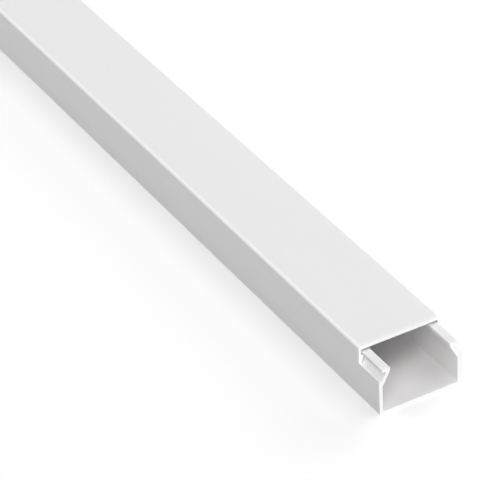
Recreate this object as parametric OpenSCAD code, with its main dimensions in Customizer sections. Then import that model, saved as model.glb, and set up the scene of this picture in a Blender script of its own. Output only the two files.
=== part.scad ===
// Two-piece plastic wiring duct: a channel-shaped base and a cover that clips onto it.
// The length runs along X with the open near end at +X, and the base lies on Z = 0.

/* [Duct] */
// Length of the base and of the cover
duct_length = 1000; // [250:50:3000]
// Outside width of the closed duct
duct_width = 40; // [30:1:60]
// Outside height of the closed duct
duct_height = 25; // [20:1:60]
// Distance that the cover is drawn back from the near end of the base
cover_setback = 15.5; // [0:0.5:100]

/* [Base] */
// Thickness of the floor
floor_t = 1.2; // [1:0.1:3]
// Thickness of the side walls and of the shoulders that lean in above them
wall_t = 1.6; // [1:0.1:2.4]
// Radius inside the corners between the floor and the walls
floor_fillet = 0.5; // [0.2:0.1:2]
// Lean of the shoulders from upright, in degrees
shoulder_lean = 28; // [26:1:42]
// Width of the ledge at the foot of each shoulder, where a flange of the cover sits
ledge_w = 1.4; // [0.7:0.05:1.6]

/* [Lips] */
// Thickness of the lip on top of each shoulder
lip_t = 1.5; // [1.2:0.1:2.2]
// Gap between the lips and the inside of the cover's top
lip_gap = 1; // [0.3:0.1:1.5]
// Gap between the tip of each lip and the flange beside it
tip_gap = 0.2; // [0.1:0.05:0.5]
// Radius on the upper edges of the lips
lip_r = 0.25; // [0.1:0.05:0.6]

/* [Cover] */
// Thickness of the top of the cover
cover_t = 1.5; // [1:0.1:2.4]
// Height of the cover, from its top to the ends of its flanges
cover_h = 8.2; // [7.6:0.1:14]
// Thickness of the flanges
flange_t = 1.3; // [0.9:0.1:1.6]
// Radius on the long outer edges of the cover
edge_r = 1; // [0.3:0.1:1.5]
// Radius inside the corners between the top and the flanges
cover_fillet = 0.3; // [0.1:0.1:0.5]

/* [Snap fit] */
// Gap between the flanges and the shoulders, and between the barbs and the lips
snap_gap = 0.25; // [0.1:0.05:0.5]
// Reach of each barb in under the tip of its lip
barb_reach = 1.1; // [0.4:0.1:1.3]
// Radius of the round tip of each barb
barb_r = 0.35; // [0.2:0.05:0.5]

/* [Hidden] */
$fn = 48;
pvc_white = [0.93, 0.93, 0.92];

// How far a shape that cuts or fills a corner runs past the faces that it meets
overrun = 0.2;

// Half width, the ledges that the cover sits on, the inside of its top, and the faces of the lips
half_w = duct_width / 2;
ledge_z = duct_height - cover_h;
inside_z = duct_height - cover_t;
lip_top_z = inside_z - lip_gap;
catch_z = lip_top_z - lip_t;

// Inside of a wall, and foot of the shoulder above it
wall_y = half_w - wall_t;
foot_y = half_w - ledge_w;

// Outer and inner face of a shoulder at height z
lean = tan(shoulder_lean);
shoulder_across = wall_t / cos(shoulder_lean);
function shoulder_out(z) = foot_y - (z - ledge_z) * lean;
function shoulder_in(z) = shoulder_out(z) - shoulder_across;

// Height where the inside of a wall turns into the inside of its shoulder
bend_z = ledge_z + (foot_y - shoulder_across - wall_y) / lean;

// Inside of a flange, and the inner edge of its end, which clears the shoulder
flange_y = half_w - flange_t;
flange_end_y = foot_y + snap_gap / cos(shoulder_lean);

// Tip and inner edge of a lip
lip_tip_y = flange_y - tip_gap;
lip_edge_y = shoulder_in(catch_z);

// Barb: its catching face, and the centre of its round tip
barb_top_z = catch_z - snap_gap;
barb_y = lip_tip_y - barb_reach + barb_r;
barb_z = barb_top_z - barb_r;

// Underside of the barb: a ramp from the end of the flange that runs into the round tip just inside its tangent
ramp_r = 0.95 * barb_r;
ramp_across = flange_end_y - barb_y;
ramp_up = barb_z - ledge_z;
ramp_lean = atan2(ramp_across, ramp_up) + asin(ramp_r / norm([ramp_across, ramp_up]));
ramp_y = barb_y - ramp_r * cos(ramp_lean);
ramp_z = barb_z - ramp_r * sin(ramp_lean);

// Right half of the base's outline, from the underside up round the lip and down to the floor
base_half = [
    [half_w, 0],
    [half_w, ledge_z],
    [foot_y, ledge_z],
    [shoulder_out(catch_z), catch_z],
    [lip_tip_y, catch_z],
    [lip_tip_y, lip_top_z],
    [lip_edge_y, lip_top_z],
    [lip_edge_y, catch_z],
    [wall_y, bend_z],
    [wall_y, floor_t],
];

// Right half of the cover's outline, from its underside down round the flange and up to the top
cover_half = [
    [flange_y, inside_z],
    [flange_y, barb_top_z],
    [barb_y, barb_top_z],
    [ramp_y, ramp_z],
    [flange_end_y, ledge_z],
    [half_w, ledge_z],
    [half_w, duct_height],
];

// Whole outline from its right half
function whole(half) = concat(half, [for (i = [len(half) - 1:-1:0]) [-half[i].x, half[i].y]]);

// A shape of the right half together with its mirror image
module on_both_sides() {
    children();
    mirror([1, 0]) children();
}

// What is cut away to round a corner that points to +X and +Y, with the round centred at [0, 0]
module corner_cut(r) {
    difference() {
        square(r + overrun);
        circle(r);
    }
}

// What fills the corner at [0, 0] between walls along +X and +Y
module corner_fill(r) {
    difference() {
        translate([-overrun, -overrun]) square(r + overrun);
        translate([r, r]) circle(r);
    }
}

// Section of the base
module base_profile() {
    difference() {
        polygon(whole(base_half));
        on_both_sides() {
            translate([lip_tip_y - lip_r, lip_top_z - lip_r]) corner_cut(lip_r);
            translate([lip_edge_y + lip_r, lip_top_z - lip_r]) mirror([1, 0]) corner_cut(lip_r);
        }
    }
    on_both_sides()
        translate([wall_y, floor_t]) mirror([1, 0]) corner_fill(floor_fillet);
}

// Section of the cover
module cover_profile() {
    difference() {
        polygon(whole(cover_half));
        on_both_sides()
            translate([half_w - edge_r, duct_height - edge_r]) corner_cut(edge_r);
    }
    on_both_sides() {
        translate([barb_y, barb_z]) circle(barb_r);
        translate([flange_y, inside_z]) rotate(180) corner_fill(cover_fillet);
    }
}

// Draws a section out to the length of the duct, back from the given near end
module along_duct(near_x) {
    translate([near_x - duct_length, 0, 0])
        rotate([90, 0, 90])
            linear_extrude(height = duct_length)
                children();
}

// Channel that is fixed to the wall and carries the wires
module duct_base() {
    color(pvc_white)
        along_duct(duct_length / 2)
            base_profile();
}

// Cover that sits on the ledges, with its barbs hooked under the lips
module duct_cover() {
    color(pvc_white)
        along_duct(duct_length / 2 - cover_setback)
            cover_profile();
}

duct_base();
duct_cover();
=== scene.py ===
import math

import bmesh
import bpy
from mathutils import Matrix, Vector


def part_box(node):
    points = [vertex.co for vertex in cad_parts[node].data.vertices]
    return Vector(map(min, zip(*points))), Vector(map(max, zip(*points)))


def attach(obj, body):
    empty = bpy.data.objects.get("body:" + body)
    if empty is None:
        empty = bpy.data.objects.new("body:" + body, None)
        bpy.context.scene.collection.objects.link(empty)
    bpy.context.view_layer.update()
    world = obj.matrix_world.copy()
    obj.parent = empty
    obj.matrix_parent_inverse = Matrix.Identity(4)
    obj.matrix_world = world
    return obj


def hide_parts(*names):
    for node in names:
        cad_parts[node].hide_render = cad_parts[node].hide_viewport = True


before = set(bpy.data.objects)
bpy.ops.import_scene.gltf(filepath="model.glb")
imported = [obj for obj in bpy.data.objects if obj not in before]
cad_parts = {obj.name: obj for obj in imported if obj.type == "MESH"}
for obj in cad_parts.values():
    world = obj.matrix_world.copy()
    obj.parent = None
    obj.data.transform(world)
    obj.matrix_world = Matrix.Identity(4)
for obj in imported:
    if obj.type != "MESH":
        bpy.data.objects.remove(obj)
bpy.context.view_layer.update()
mm = 0.001
print("frame loaded:", ", ".join(sorted(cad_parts)))


# outlines of the two profiles, in millimetres: y across, z up, counter-clockwise seen from the near end

arcs = {"degreesPerStep": 11, "fewestSteps": 3, "support": 0.45, "supportShare": 0.3, "smallestRubbedAndHighlit": 0.08}


def mirrored(half):
    # a corner's finish belongs to the stretch after it, so it moves one corner on in the mirror image
    finishes = [corner[3] for corner in half]
    left = [(-y, z, radius, finishes[i - 1]) for i, (y, z, radius, _) in enumerate(half)]
    return half + left[::-1]


def roundedOutline(corners, rightRubAndHighlight=1.0):
    # every corner becomes an arc, with a spare point on the flat each side of it
    points = []
    for i, (y, _, radius, finish) in enumerate(corners):
        before, here, after = (Vector(corners[(i + k) % len(corners)][:2]) for k in (-1, 0, 1))
        back, ahead = before - here, after - here
        half = back.angle(ahead) / 2
        reach = radius / math.tan(half)
        convex = back.x * ahead.y - back.y * ahead.x < 0
        inward = (back.normalized() + ahead.normalized()).normalized()
        centre = here + inward * radius / math.sin(half)
        start = here + back.normalized() * reach - centre
        turn = (math.pi - 2 * half) * (1 if convex else -1)
        steps = max(arcs["fewestSteps"], math.ceil(abs(math.degrees(turn)) / arcs["degreesPerStep"]))
        earlier = corners[i - 1][3]
        # convex rounds carry the edge mark, which is rub wear and a painted highlight
        rubbedAndHighlit = 0.0
        if convex and radius > arcs["smallestRubbedAndHighlit"]:
            rubbedAndHighlit = rightRubAndHighlight if y > 0 else 1.0
        spare = min(arcs["support"], arcs["supportShare"] * (back.length - reach))
        points.append((here + back.normalized() * (reach + spare), 0.0, earlier))
        for k in range(steps + 1):
            swung = Matrix.Rotation(turn * k / steps, 2) @ start
            points.append((centre + swung, rubbedAndHighlit, earlier if k < steps / 2 else finish))
        spare = min(arcs["support"], arcs["supportShare"] * (ahead.length - reach))
        points.append((here + ahead.normalized() * (reach + spare), 0.0, finish))
    return points


def outwardAt(points, i):
    before, after = points[i - 1][0], points[(i + 1) % len(points)][0]
    along = (after - before).normalized()
    return Vector((along.y, -along.x))


# rings along a piece: a broken edge of two facets at each sawn end, and plain rings between

ends = {"facet": 0.35, "faceRubAndHighlight": 0.25, "facetRubAndHighlight": 0.8, "skinRubAndHighlight": 0.6, "fromFar": 2.0, "fromNear": 4.0, "plain": 9}


def cutRings(low, high, brk):
    # each ring is x, inset and share of the edge rub and painted highlight
    facet = brk * ends["facet"]
    end = [(0.0, brk, ends["faceRubAndHighlight"]), (facet * mm, facet, ends["facetRubAndHighlight"]), (brk * mm, 0.0, ends["skinRubAndHighlight"])]
    first, last = low + ends["fromFar"] * mm, high - ends["fromNear"] * mm
    plain = ends["plain"]
    between = [(first + (last - first) * k / (plain - 1), 0.0, 0.0) for k in range(plain)]
    farEnd = [(low + x, inset, rubAndHighlight) for x, inset, rubAndHighlight in end]
    nearEnd = [(high - x, inset, rubAndHighlight) for x, inset, rubAndHighlight in end[::-1]]
    return farEnd + between + nearEnd


def sweptPiece(name, points, rings, finishes):
    build = bmesh.new()
    rubAndHighlight = build.verts.layers.float.new("edgeRubAndHighlight")
    loops = []
    for x, inset, rubAndHighlightShare in rings:
        loop = []
        for i, (point, edge, _) in enumerate(points):
            y, z = point - outwardAt(points, i) * inset
            vert = build.verts.new((x, y * mm, z * mm))
            vert[rubAndHighlight] = max(edge, rubAndHighlightShare)
            loop.append(vert)
        loops.append(loop)
    order = list(finishes)
    count = len(points)
    for low, high in zip(loops, loops[1:]):
        for i in range(count):
            j = (i + 1) % count
            face = build.faces.new((low[i], low[j], high[j], high[i]))
            face.material_index = order.index(points[i][2])
    for loop in (loops[-1], loops[0][::-1]):
        face = build.faces.new(loop)
        face.material_index = order.index("sawn")
    mesh = bpy.data.meshes.new(name)
    build.to_mesh(mesh)
    build.free()
    mesh.shade_smooth()
    piece = bpy.data.objects.new(name, mesh)
    bpy.context.scene.collection.objects.link(piece)
    for material in finishes.values():
        mesh.materials.append(material)
    normals = piece.modifiers.new("flat faces stay flat", "WEIGHTED_NORMAL")
    normals.mode = "FACE_AREA"
    normals.weight = 100
    return piece


# node helpers

def newGroup(name, inputs, outputs):
    group = bpy.data.node_groups.new(name, "ShaderNodeTree")
    for label, kind, value in inputs:
        socket = group.interface.new_socket(label, in_out="INPUT", socket_type=kind)
        socket.default_value = value
    for label, kind in outputs:
        group.interface.new_socket(label, in_out="OUTPUT", socket_type=kind)
    return group, group.nodes.new("NodeGroupInput").outputs, group.nodes.new("NodeGroupOutput").inputs


def node(tree, kind, links=None, **values):
    made = tree.nodes.new(kind)
    for key, value in values.items():
        if hasattr(made, key):
            setattr(made, key, value)
        else:
            made.inputs[key.replace("_", " ")].default_value = value
    for key, source in (links or {}).items():
        tree.links.new(source, made.inputs[key])
    return made


def fill(tree, socket, value):
    # a plain value is set on the socket, and anything else is a socket to link
    if isinstance(value, (int, float, tuple)):
        socket.default_value = value
    else:
        tree.links.new(value, socket)


def maths(tree, operation, a, b, clamp=False):
    made = tree.nodes.new("ShaderNodeMath")
    made.operation = operation
    made.use_clamp = clamp
    fill(tree, made.inputs[0], a)
    fill(tree, made.inputs[1], b)
    return made.outputs[0]


def times(tree, a, b):
    return maths(tree, "MULTIPLY", a, b)


def weighted(tree, first, firstShare, second, secondShare):
    return maths(tree, "ADD", times(tree, first, firstShare), times(tree, second, secondShare))


def ramp(tree, value, low, high):
    made = node(tree, "ShaderNodeMapRange", {"Value": value}, interpolation_type="SMOOTHSTEP")
    made.inputs["From Min"].default_value = low
    made.inputs["From Max"].default_value = high
    return made.outputs[0]


def mixColours(tree, share, first, second, blend="MIX"):
    made = tree.nodes.new("ShaderNodeMix")
    made.data_type = "RGBA"
    made.blend_type = blend
    fill(tree, made.inputs[0], share)
    fill(tree, made.inputs[6], first)
    fill(tree, made.inputs[7], second)
    return made.outputs[2]


def placed(tree, scale, turn=(0, 0, 0)):
    where = tree.nodes.new("ShaderNodeTexCoord").outputs["Object"]
    return node(tree, "ShaderNodeMapping", {"Vector": where}, Scale=scale, Rotation=turn).outputs[0]


def noise(tree, scale, detail, roughness=0.5, turn=(0, 0, 0)):
    where = placed(tree, scale, turn)
    made = node(tree, "ShaderNodeTexNoise", {"Vector": where}, Scale=1.0, Detail=detail, Roughness=roughness)
    return made.outputs[0]


# effects that the plastics share

dieLines = {
    "coarse": (1.6, 420, 420), "fine": (5, 2600, 2600), "coarseShare": 0.65, "fineShare": 0.35,
    "streakFrom": 0.36, "streakTo": 0.66,
}


def buildDieLines(s):
    # lines that the die draws along the profile: coarse ones that show in the gloss, fine ones in the touch
    group, given, put = newGroup(
        "dieLines",
        [("Strength", "NodeSocketFloat", 1.0)],
        [("Height", "NodeSocketFloat"), ("Streak", "NodeSocketFloat")])
    coarse = noise(group, s["coarse"], 2.0, 0.55)
    fine = noise(group, s["fine"], 3.0, 0.6)
    both = weighted(group, coarse, s["coarseShare"], fine, s["fineShare"])
    group.links.new(times(group, both, given["Strength"]), put["Height"])
    group.links.new(ramp(group, coarse, s["streakFrom"], s["streakTo"]), put["Streak"])
    return group


tones = {"slow": (7, 34, 34), "fleck": (1500, 1500, 1500), "slowShare": 0.8, "fleckShare": 0.2, "middle": 0.5}


def buildTone(s):
    # slow drift of the white over the length, and a fine fleck of the filler in it
    group, given, put = newGroup(
        "plasticTone",
        [("Plastic", "NodeSocketColor", (0.8, 0.8, 0.8, 1)), ("Drift", "NodeSocketFloat", 0.03)],
        [("Color", "NodeSocketColor")])
    slow = noise(group, s["slow"], 3.0)
    fleck = noise(group, s["fleck"], 1.0)
    shift = weighted(group, slow, s["slowShare"], fleck, s["fleckShare"])
    drift = times(group, maths(group, "SUBTRACT", shift, s["middle"]), given["Drift"])
    level = maths(group, "ADD", 1.0, drift)
    grey = node(group, "ShaderNodeCombineColor", {"Red": level, "Green": level, "Blue": level})
    group.links.new(mixColours(group, 1.0, given["Plastic"], grey.outputs[0], "MULTIPLY"), put["Color"])
    return group


handlingMarks = {
    "strokes": ((0.21, (14, 900, 420)), (-0.34, (20, 1200, 500)), (1.1, (30, 1000, 700))),
    "strokeFrom": 0.70, "strokeTo": 0.78, "tip": (0.4, 0.3),
    "patch": (16, 50, 50), "patchFrom": 0.52, "patchTo": 0.72,
    "smudge": (22, 70, 70), "smudgeFrom": 0.45, "smudgeTo": 0.70,
}


def buildHandling(s):
    # fine scuffs from the bundle and from hands, thin and far apart
    group, given, put = newGroup(
        "handlingMarks",
        [("Amount", "NodeSocketFloat", 1.0)],
        [("Scuff", "NodeSocketFloat"), ("Smudge", "NodeSocketFloat")])
    layers = []
    for turn, scale in s["strokes"]:
        lines = noise(group, scale, 2.0, turn=(turn * s["tip"][0], turn * s["tip"][1], turn))
        layers.append(ramp(group, lines, s["strokeFrom"], s["strokeTo"]))
    where = ramp(group, noise(group, s["patch"], 2.0), s["patchFrom"], s["patchTo"])
    marks = maths(group, "MAXIMUM", maths(group, "MAXIMUM", layers[0], layers[1]), layers[2])
    group.links.new(times(group, times(group, marks, where), given["Amount"]), put["Scuff"])
    smudge = noise(group, s["smudge"], 4.0, 0.62)
    group.links.new(ramp(group, smudge, s["smudgeFrom"], s["smudgeTo"]), put["Smudge"])
    return group


edgeRubAndHighlight = {"patches": (55, 260, 260), "patchFrom": 0.3, "patchTo": 0.7, "edgeFrom": 0.15, "edgeTo": 0.95}


def buildEdgeRubAndHighlight(s):
    # the mesh marks its corners, and a noise breaks the mark up so that the rub and painted highlight come and go
    group, given, put = newGroup("edgeRubAndHighlight", [("Evenness", "NodeSocketFloat", 0.6)], [("RubAndHighlight", "NodeSocketFloat")])
    mark = node(group, "ShaderNodeAttribute", attribute_name="edgeRubAndHighlight", attribute_type="GEOMETRY")
    share = ramp(group, noise(group, s["patches"], 3.0, 0.6), s["patchFrom"], s["patchTo"])
    uneven = times(group, share, maths(group, "SUBTRACT", 1.0, given["Evenness"]))
    kept = maths(group, "ADD", uneven, given["Evenness"])
    sharp = ramp(group, mark.outputs["Fac"], s["edgeFrom"], s["edgeTo"])
    group.links.new(maths(group, "MULTIPLY", sharp, kept, True), put["RubAndHighlight"])
    return group


sawMarks = {
    "bladeCentre": (0.0, 0.11, -0.19), "grain": (4000, 4000, 4000), "arcShare": 0.6, "grainShare": 0.4,
    "shadeFrom": 0.25, "shadeTo": 0.75,
}


def buildSawMarks(s):
    # fine arcs that a saw leaves on a cut end
    group, given, put = newGroup(
        "sawMarks",
        [("Pitch", "NodeSocketFloat", 900.0)],
        [("Height", "NodeSocketFloat"), ("Shade", "NodeSocketFloat")])
    where = node(group, "ShaderNodeTexCoord").outputs["Object"]
    bend = node(group, "ShaderNodeMapping", {"Vector": where}, Location=s["bladeCentre"])
    arcLines = node(group, "ShaderNodeTexWave", {"Vector": bend.outputs[0], "Scale": given["Pitch"]},
                    wave_type="RINGS", rings_direction="X", Distortion=1.4, Detail=3.0, Detail_Scale=2.0)
    grain = noise(group, s["grain"], 3.0)
    both = weighted(group, arcLines.outputs["Fac"], s["arcShare"], grain, s["grainShare"])
    group.links.new(both, put["Height"])
    group.links.new(ramp(group, both, s["shadeFrom"], s["shadeTo"]), put["Shade"])
    return group


groups = {
    "lines": buildDieLines(dieLines),
    "tone": buildTone(tones),
    "handling": buildHandling(handlingMarks),
    "rubAndHighlight": buildEdgeRubAndHighlight(edgeRubAndHighlight),
    "saw": buildSawMarks(sawMarks),
}
print("shared effects:", ", ".join(g.name for g in groups.values()))


def usedGroup(tree, key, **values):
    made = tree.nodes.new("ShaderNodeGroup")
    made.node_tree = groups[key]
    for label, value in values.items():
        made.inputs[label].default_value = value
    return made.outputs


def newMaterial(name, ior):
    material = bpy.data.materials.new(name)
    material.use_nodes = True
    shader = material.node_tree.nodes["Principled BSDF"]
    shader.inputs["IOR"].default_value = ior
    return material, material.node_tree, shader


def plasticSkin(name, look):
    # drawn surface of the extrusion
    material, tree, shader = newMaterial(name, look["ior"])
    tone = usedGroup(tree, "tone", Plastic=(*look["color"], 1), Drift=look["drift"])
    lines = usedGroup(tree, "lines", Strength=1.0)
    handling = usedGroup(tree, "handling", Amount=look["scuffs"])
    rubAndHighlight = usedGroup(tree, "rubAndHighlight", Evenness=look["rubAndHighlightEvenness"])
    # the edge mark whitens the colour: rub wear and a painted highlight
    edged = mixColours(tree, times(tree, rubAndHighlight["RubAndHighlight"], look["rubAndHighlight"]), tone["Color"], (*look["rubAndHighlightColor"], 1))
    scuffed = times(tree, handling["Scuff"], look["scuffShade"])
    tree.links.new(mixColours(tree, scuffed, edged, (*look["scuffColor"], 1)), shader.inputs["Base Color"])
    rough = maths(tree, "ADD", look["roughness"], times(tree, lines["Streak"], look["streak"]))
    rough = maths(tree, "ADD", rough, times(tree, handling["Scuff"], look["scuffRough"]))
    rough = maths(tree, "ADD", rough, times(tree, handling["Smudge"], look["smudge"]))
    rough = maths(tree, "SUBTRACT", rough, times(tree, rubAndHighlight["RubAndHighlight"], look["rubPolish"]), True)
    tree.links.new(rough, shader.inputs["Roughness"])
    height = maths(tree, "SUBTRACT", lines["Height"], times(tree, handling["Scuff"], look["scuffDepth"]))
    bump = node(tree, "ShaderNodeBump", {"Height": height}, Strength=look["bump"], Distance=look["bumpDepth"])
    tree.links.new(bump.outputs[0], shader.inputs["Normal"])
    return material


def sawnPlastic(name, look):
    # cut end: paler and duller than the drawn skin; the paler tone is partly the cut plastic's own and partly
    # painted light
    material, tree, shader = newMaterial(name, look["ior"])
    tone = usedGroup(tree, "tone", Plastic=(*look["color"], 1), Drift=look["drift"])
    saw = usedGroup(tree, "saw", Pitch=look["pitch"])
    shaded = mixColours(tree, times(tree, saw["Shade"], look["shade"]), tone["Color"], (*look["low"], 1))
    tree.links.new(shaded, shader.inputs["Base Color"])
    rough = maths(tree, "ADD", look["roughness"], times(tree, saw["Shade"], look["shadeRough"]))
    tree.links.new(rough, shader.inputs["Roughness"])
    bump = node(tree, "ShaderNodeBump", {"Height": saw["Height"]}, Strength=look["bump"], Distance=look["bumpDepth"])
    tree.links.new(bump.outputs[0], shader.inputs["Normal"])
    return material


# what the finishes of both pieces start from, as drawn and as sawn

drawn = {
    "ior": 1.53, "drift": 0.03, "streak": 0.08, "smudge": 0.03,
    "scuffs": 0.3, "scuffShade": 0.25, "scuffRough": 0.16, "scuffDepth": 0.6,
    "rubAndHighlightEvenness": 0.7, "rubPolish": 0.03, "bump": 0.25, "bumpDepth": 0.00012,
}
sawn = {
    "color": (0.97, 0.97, 0.968), "low": (0.91, 0.91, 0.91), "shade": 0.35, "shadeRough": 0.12,
    "ior": 1.53, "drift": 0.02, "bump": 0.25, "bumpDepth": 0.00008,
}


# base: the channel with ledges, leaning shoulders and hooked lips

channel = {
    "width": 40.0, "floor": 1.2, "wall": 1.6, "ledgeHeight": 16.8, "ledge": 1.4,
    "lean": 28.0, "lipTop": 22.5, "lip": 1.5, "lipInset": 1.5, "lipRound": 0.25, "bendRound": 0.3,
    "floorRound": 0.5, "edgeRound": 0.12, "seamRound": 0.06, "hookRound": 0.16, "brokenEdge": 0.05,
    "skin": {
        **drawn, "color": (0.81, 0.81, 0.807), "roughness": 0.42, "streak": 0.07, "smudge": 0.05,
        "scuffs": 0.8, "scuffShade": 0.35, "scuffColor": (0.70, 0.70, 0.70),
        "rubAndHighlight": 0.7, "rubAndHighlightColor": (0.93, 0.93, 0.93), "rubPolish": 0.04,
    },
    "paintedLit": {  # ledges, shoulders and hooks: painted light, paler than the skin
        **drawn, "color": (0.955, 0.955, 0.952), "drift": 0.02, "roughness": 0.32, "streak": 0.06, "smudge": 0.02,
        "scuffs": 0.2, "scuffShade": 0.2, "scuffColor": (0.78, 0.78, 0.78),
        "rubAndHighlight": 0.6, "rubAndHighlightColor": (0.95, 0.95, 0.95),
    },
    "paintedShade": {  # outer faces of the lips: painted shade, darker than the skin
        **drawn, "color": (0.70, 0.70, 0.698), "drift": 0.04, "roughness": 0.30, "streak": 0.10, "smudge": 0.02,
        "scuffShade": 0.3, "scuffColor": (0.62, 0.62, 0.62),
        "rubAndHighlight": 0.8, "rubAndHighlightColor": (0.95, 0.95, 0.95),
    },
    # inner faces of the lips, shoulders and walls: painted light, paler than the skin
    "inside": {
        **drawn, "color": (0.915, 0.905, 0.903), "roughness": 0.42, "scuffColor": (0.76, 0.75, 0.75),
        "rubAndHighlight": 0.6, "rubAndHighlightColor": (0.94, 0.94, 0.94), "bump": 0.3,
    },
    "bed": {  # floor that the wires lie on
        **drawn, "color": (0.83, 0.819, 0.817), "roughness": 0.46,
        "scuffs": 0.5, "scuffColor": (0.72, 0.71, 0.71),
        "rubAndHighlight": 0.5, "rubAndHighlightColor": (0.90, 0.90, 0.90), "bump": 0.3,
    },
    "sawn": {**sawn, "pitch": 900.0, "roughness": 0.62},
}


def channelOutline(c):
    halfWidth = c["width"] / 2
    lean = math.tan(math.radians(c["lean"]))
    through = c["wall"] / math.cos(math.radians(c["lean"]))
    foot = halfWidth - c["ledge"]
    wallIn = halfWidth - c["wall"]
    catch = c["lipTop"] - c["lip"]
    shoulder = foot - (catch - c["ledgeHeight"]) * lean
    lipTip = halfWidth - c["lipInset"]
    bend = c["ledgeHeight"] + (foot - through - wallIn) / lean
    edge, hook = c["edgeRound"], c["hookRound"]
    half = [
        (halfWidth, 0.0, edge, "skin"),
        (halfWidth, c["ledgeHeight"], c["seamRound"], "paintedLit"),
        (foot, c["ledgeHeight"], edge, "paintedLit"),
        (shoulder, catch, hook, "paintedLit"),
        (lipTip, catch, c["seamRound"], "paintedShade"),
        (lipTip, c["lipTop"], c["lipRound"], "skin"),
        (shoulder - through, c["lipTop"], c["lipRound"], "inside"),
        (shoulder - through, catch, hook, "inside"),
        (wallIn, bend, c["bendRound"], "inside"),
        (wallIn, c["floor"], c["floorRound"], "bed"),
    ]
    return roundedOutline(mirrored(half))


baseLow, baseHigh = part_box("duct_base")
channelFinishes = {
    "skin": plasticSkin("baseSkin", channel["skin"]),
    "paintedLit": plasticSkin("basePaintedLit", channel["paintedLit"]),
    "paintedShade": plasticSkin("basePaintedShade", channel["paintedShade"]),
    "inside": plasticSkin("baseInside", channel["inside"]),
    "bed": plasticSkin("baseBed", channel["bed"]),
    "sawn": sawnPlastic("baseSawn", channel["sawn"]),
}
baseRings = cutRings(baseLow.x, baseHigh.x, channel["brokenEdge"])
channelPiece = sweptPiece("channelBase", channelOutline(channel), baseRings, channelFinishes)
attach(channelPiece, "base")
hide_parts("duct_base")
print("base:", len(channelPiece.data.polygons), "faces")


# cover: flat top, rounded edges, flanges with barbs

cover = {
    "width": 40.0, "top": 25.0, "thickness": 1.5, "foot": 16.8, "flange": 1.3, "edgeRound": 1.0, "innerRound": 0.3,
    "catch": 21.0, "lipTip": 18.5, "snapGap": 0.25, "barbReach": 1.1, "barbRound": 0.35,
    "shoulderFoot": 18.6, "lean": 28.0, "smallRound": 0.1, "seamRound": 0.06, "brokenEdge": 0.045,
    "rightRubAndHighlight": 0.0,  # the pale rub and painted highlight go on the left long edge alone
    "skin": {
        **drawn, "color": (0.81, 0.81, 0.807), "roughness": 0.43, "streak": 0.07, "smudge": 0.05,
        "scuffs": 0.8, "scuffShade": 0.35, "scuffColor": (0.70, 0.70, 0.70),
        "rubAndHighlight": 1.0, "rubAndHighlightEvenness": 0.9, "rubAndHighlightColor": (0.98, 0.98, 0.98), "rubPolish": 0.08,
    },
    # painted shade: darker than the cover's skin
    "inside": {
        **drawn, "color": (0.72, 0.712, 0.71), "roughness": 0.44, "scuffColor": (0.72, 0.71, 0.71),
        "rubAndHighlight": 0.5, "rubAndHighlightColor": (0.92, 0.92, 0.92), "bump": 0.3,
    },
    "sawn": {**sawn, "pitch": 950.0, "roughness": 0.6},
}


def coverOutline(c):
    halfWidth = c["width"] / 2
    underside = c["top"] - c["thickness"]
    flangeIn = halfWidth - c["flange"]
    endIn = c["shoulderFoot"] + c["snapGap"] / math.cos(math.radians(c["lean"]))
    barbTop = c["catch"] - c["snapGap"]
    # ramp from the flange's end, tangent to the barb's round tip, drawn on to the point that the round cuts off
    across = endIn - (c["lipTip"] - c["barbReach"] + c["barbRound"])
    rise = barbTop - c["barbRound"] - c["foot"]
    slope = math.atan2(across, rise) + math.asin(c["barbRound"] / math.hypot(across, rise))
    point = endIn - (barbTop - c["foot"]) * math.tan(slope)
    small, seam = c["smallRound"], c["seamRound"]
    half = [
        (flangeIn, underside, c["innerRound"], "inside"),
        (flangeIn, barbTop, small, "inside"),
        (point, barbTop, c["barbRound"], "inside"),
        (endIn, c["foot"], seam, "inside"),
        (halfWidth, c["foot"], seam, "skin"),
        (halfWidth, c["top"], c["edgeRound"], "skin"),
    ]
    return roundedOutline(mirrored(half), rightRubAndHighlight=c["rightRubAndHighlight"])


coverLow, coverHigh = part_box("duct_cover")
coverFinishes = {
    "skin": plasticSkin("coverSkin", cover["skin"]),
    "inside": plasticSkin("coverInside", cover["inside"]),
    "sawn": sawnPlastic("coverSawn", cover["sawn"]),
}
coverRings = cutRings(coverLow.x, coverHigh.x, cover["brokenEdge"])
coverPiece = sweptPiece("clipCover", coverOutline(cover), coverRings, coverFinishes)
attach(coverPiece, "cover")
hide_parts("duct_cover")
print("cover:", len(coverPiece.data.polygons), "faces")


# white sheet under the duct: white to the camera, with the duct's soft shadow, and duller to the light it bounces

sheet = {"size": 60.0, "cells": 12, "below": 0.00005, "lit": 0.97, "lift": 0.07, "bounce": 0.65}


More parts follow.
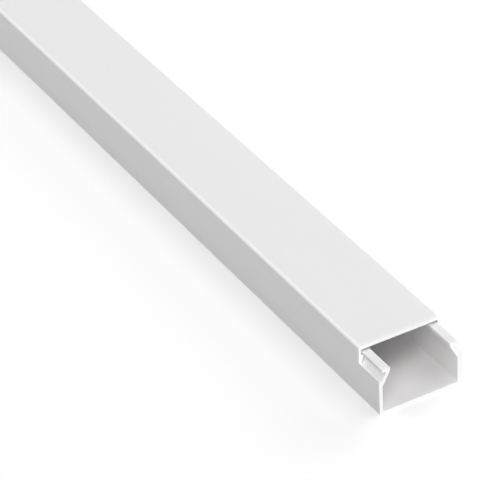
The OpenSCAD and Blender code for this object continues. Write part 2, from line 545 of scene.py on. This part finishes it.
def whiteSheet(s):
    build = bmesh.new()
    bmesh.ops.create_grid(build, x_segments=s["cells"], y_segments=s["cells"], size=s["size"] / 2)
    mesh = bpy.data.meshes.new("whiteSheet")
    build.to_mesh(mesh)
    build.free()
    floor = bpy.data.objects.new("whiteSheet", mesh)
    floor.location.z = -s["below"]
    bpy.context.scene.collection.objects.link(floor)
    material = bpy.data.materials.new("whiteSheet")
    material.use_nodes = True
    tree = material.node_tree
    tree.nodes.remove(tree.nodes["Principled BSDF"])
    seen = node(tree, "ShaderNodeBsdfDiffuse", Color=(s["lit"], s["lit"], s["lit"], 1))
    lift = node(tree, "ShaderNodeEmission", Color=(1, 1, 1, 1), Strength=s["lift"])
    white = node(tree, "ShaderNodeAddShader", {0: seen.outputs[0], 1: lift.outputs[0]})
    dull = node(tree, "ShaderNodeBsdfDiffuse", Color=(s["bounce"], s["bounce"], s["bounce"], 1))
    path = node(tree, "ShaderNodeLightPath").outputs
    straight = maths(tree, "MAXIMUM", path["Is Camera Ray"], path["Is Transmission Ray"])
    straight = maths(tree, "MAXIMUM", straight, path["Is Glossy Ray"])
    both = node(tree, "ShaderNodeMixShader", {0: straight, 1: dull.outputs[0], 2: white.outputs[0]})
    tree.links.new(both.outputs[0], tree.nodes["Material Output"].inputs["Surface"])
    mesh.materials.append(material)


whiteSheet(sheet)
print("floor laid")


# light: a faint dome and soft panels round the duct, far enough off to light its whole length alike

lights = {
    "dome": 0.02,
    "sheen": 0.6,  # what the plastic mirrors
    "panels": {
        "rightTop": {"level": 0.29, "towards": (0.10, 0.40, 0.91), "spread": 35},
        "rightBack": {"level": 0.345, "towards": (-0.35, 0.85, 0.38), "spread": 45},
        "leftBack": {"level": 0.205, "towards": (-0.30, -0.60, 0.74), "spread": 40},
        "frontHigh": {"level": 0.125, "towards": (0.35, 0.00, 0.94), "spread": 25},
        "frontLeft": {"level": 0.202, "towards": (0.80, -0.40, 0.45), "spread": 30},
        "frontLeftHigh": {"level": 0.235, "towards": (0.45, -0.40, 0.80), "spread": 25},
        "front": {"level": 0.43, "towards": (1.00, 0.00, 0.02), "spread": 6},
        "back": {"level": 0.25, "towards": (-0.85, 0.52, 0.03), "spread": 8},
    },
}


def lightScene(settings):
    world = bpy.data.worlds.new("whiteRoom")
    bpy.context.scene.world = world
    world.use_nodes = True
    tree = world.node_tree
    dome = tree.nodes["Background"]
    dome.inputs["Color"].default_value = (1, 1, 1, 1)
    dome.inputs["Strength"].default_value = settings["dome"]
    shown = node(tree, "ShaderNodeBackground", Color=(1, 1, 1, 1), Strength=1.0)
    sheen = node(tree, "ShaderNodeBackground", Color=(1, 1, 1, 1), Strength=settings["sheen"])
    path = node(tree, "ShaderNodeLightPath").outputs
    straight = maths(tree, "MAXIMUM", path["Is Camera Ray"], path["Is Transmission Ray"])
    bounced = node(tree, "ShaderNodeMixShader", {0: path["Is Glossy Ray"], 1: dome.outputs[0], 2: sheen.outputs[0]})
    both = node(tree, "ShaderNodeMixShader", {0: straight, 1: bounced.outputs[0], 2: shown.outputs[0]})
    tree.links.new(both.outputs[0], tree.nodes["World Output"].inputs["Surface"])
    for name, panel in settings["panels"].items():
        lamp = bpy.data.lights.new(name, "SUN")
        lamp.energy = panel["level"] * math.pi
        lamp.angle = math.radians(panel["spread"])
        holder = bpy.data.objects.new(name, lamp)
        holder.rotation_mode = "QUATERNION"
        holder.rotation_quaternion = Vector(panel["towards"]).to_track_quat("Z", "Y")
        bpy.context.scene.collection.objects.link(holder)


lightScene(lights)
bpy.context.scene.view_settings.view_transform = "Standard"
print("lights set")


# camera: fitted to the photograph's long edges and to the near end

shot = {
    "lens": 200.718, "sensor": 36.0, "clip": (0.05, 200.0),
    "azimuth": 62.057, "elevation": 34.118, "roll": -3.374, "fromNearEnd": (0.74527, -0.47576, 0.68198),
}


def placeCamera(s):
    data = bpy.data.cameras.new("shot")
    data.lens = s["lens"]
    data.sensor_width = s["sensor"]
    data.clip_start, data.clip_end = s["clip"]
    camera = bpy.data.objects.new("shot", data)
    bpy.context.scene.collection.objects.link(camera)
    a, e, r = (math.radians(s[k]) for k in ("azimuth", "elevation", "roll"))
    right = Vector((math.cos(a), math.sin(a), 0))
    back = Vector((math.sin(a) * math.cos(e), -math.cos(a) * math.cos(e), math.sin(e)))
    up = back.cross(right)
    turned = (right * math.cos(r) + up * math.sin(r), up * math.cos(r) - right * math.sin(r), back)
    matrix = Matrix(turned).transposed().to_4x4()
    matrix.translation = Vector((baseHigh.x, 0, 0)) + Vector(s["fromNearEnd"])
    camera.matrix_world = matrix
    bpy.context.scene.camera = camera


placeCamera(shot)
print("camera placed")

bpy.context.view_layer.update()
